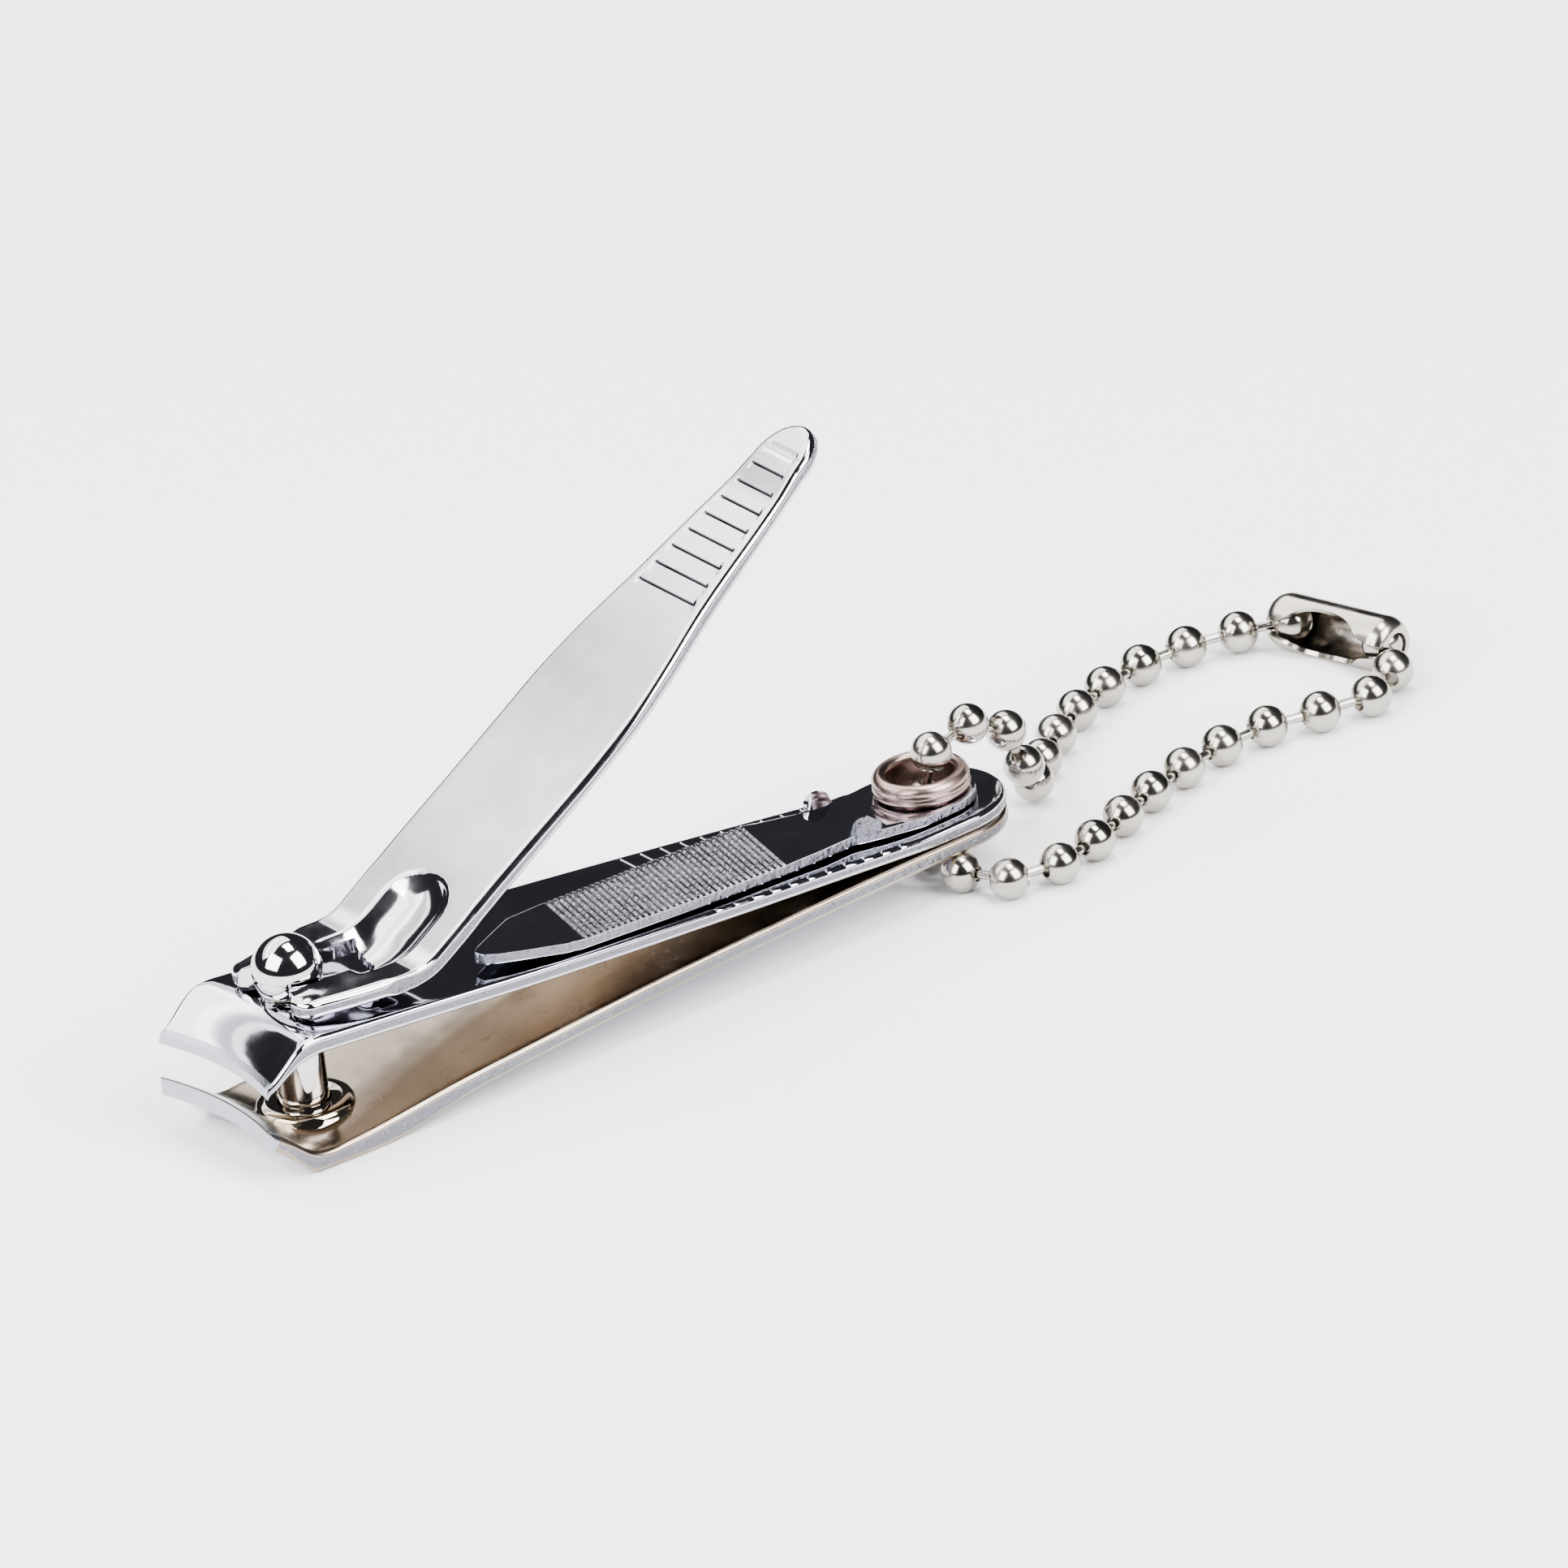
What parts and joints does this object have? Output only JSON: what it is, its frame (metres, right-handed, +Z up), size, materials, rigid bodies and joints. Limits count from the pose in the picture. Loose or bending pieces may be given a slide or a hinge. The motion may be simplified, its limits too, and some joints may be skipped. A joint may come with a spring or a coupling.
{
  "type": "nail clipper",
  "caption": "Nail clipper with a press lever in its raised working position, a swinging nail file and a ball chain through the tail eyelet",
  "frame": {"origin": "on the floor, on the axis of the pin, at the middle of its foot", "axes": "+X from the cutting head to the tail, +Y across the jaws, +Z up"},
  "size_m": [0.084, 0.0202, 0.0299],
  "materials": {
    "plated_jaw": "polished bright plating, satin inside",
    "plated_pin": "polished bright plating",
    "plated_lever": "polished bright plating with sheared edges",
    "plated_file": "bright plating, cross-cut file teeth",
    "eyelet": "bright plating with a warm tint",
    "chain_nickel": "bright nickel plating"
  },
  "bodies": {
    "lower": {"lower_jaw": "plated_jaw", "tail_eyelet": "eyelet", "bead_01": "chain_nickel", "bead_02": "chain_nickel", "bead_03": "chain_nickel", "bead_04": "chain_nickel", "bead_05": "chain_nickel", "bead_06": "chain_nickel", "bead_07": "chain_nickel", "bead_08": "chain_nickel", "bead_09": "chain_nickel", "bead_10": "chain_nickel", "bead_11": "chain_nickel", "bead_12": "chain_nickel", "bead_13": "chain_nickel", "bead_14": "chain_nickel", "bead_15": "chain_nickel", "bead_16": "chain_nickel", "bead_17": "chain_nickel", "bead_18": "chain_nickel", "bead_19": "chain_nickel", "bead_20": "chain_nickel", "bead_21": "chain_nickel", "bead_22": "chain_nickel", "bead_23": "chain_nickel", "bead_24": "chain_nickel", "bead_25": "chain_nickel", "bead_26": "chain_nickel", "bead_27": "chain_nickel", "bead_28": "chain_nickel", "wires_out": "chain_nickel", "wires_back": "chain_nickel", "chain_connector": "chain_nickel"},
    "upper": {"upper_jaw": "plated_jaw"},
    "pin": {"pin": "plated_pin"},
    "lever": {"lever": "plated_lever"},
    "file": {"nail_file": "plated_file"}
  },
  "joints": [
    {"name": "upper_jaw_flex", "type": "hinge", "parent": "lower", "child": "upper", "pos_m": [0.0433, 0, 0.0034], "axis": [0, -1, 0], "range_deg": [0, 2.25], "stiffness_Nm_per_rad": 4, "springref_deg": -1.72},
    {"name": "pin_swivel", "type": "hinge", "parent": "lower", "child": "pin", "pos_m": [0, 0, 0], "axis": [0, 0, 1], "range_deg": [-12, 12]},
    {"name": "lever_press", "type": "hinge", "parent": "pin", "child": "lever", "pos_m": [0, 0, 0.00997], "axis": [0, 1, 0], "range_deg": [0, 18]},
    {"name": "file_swing", "type": "hinge", "parent": "upper", "child": "file", "pos_m": [0.0433, 0, 0.00443], "axis": [0, 0, 1], "range_deg": [-115, 110]}
  ],
  "couplings": [
    {"joint": "upper_jaw_flex", "follows": "lever_press", "ratio": 0.125}
  ]
}
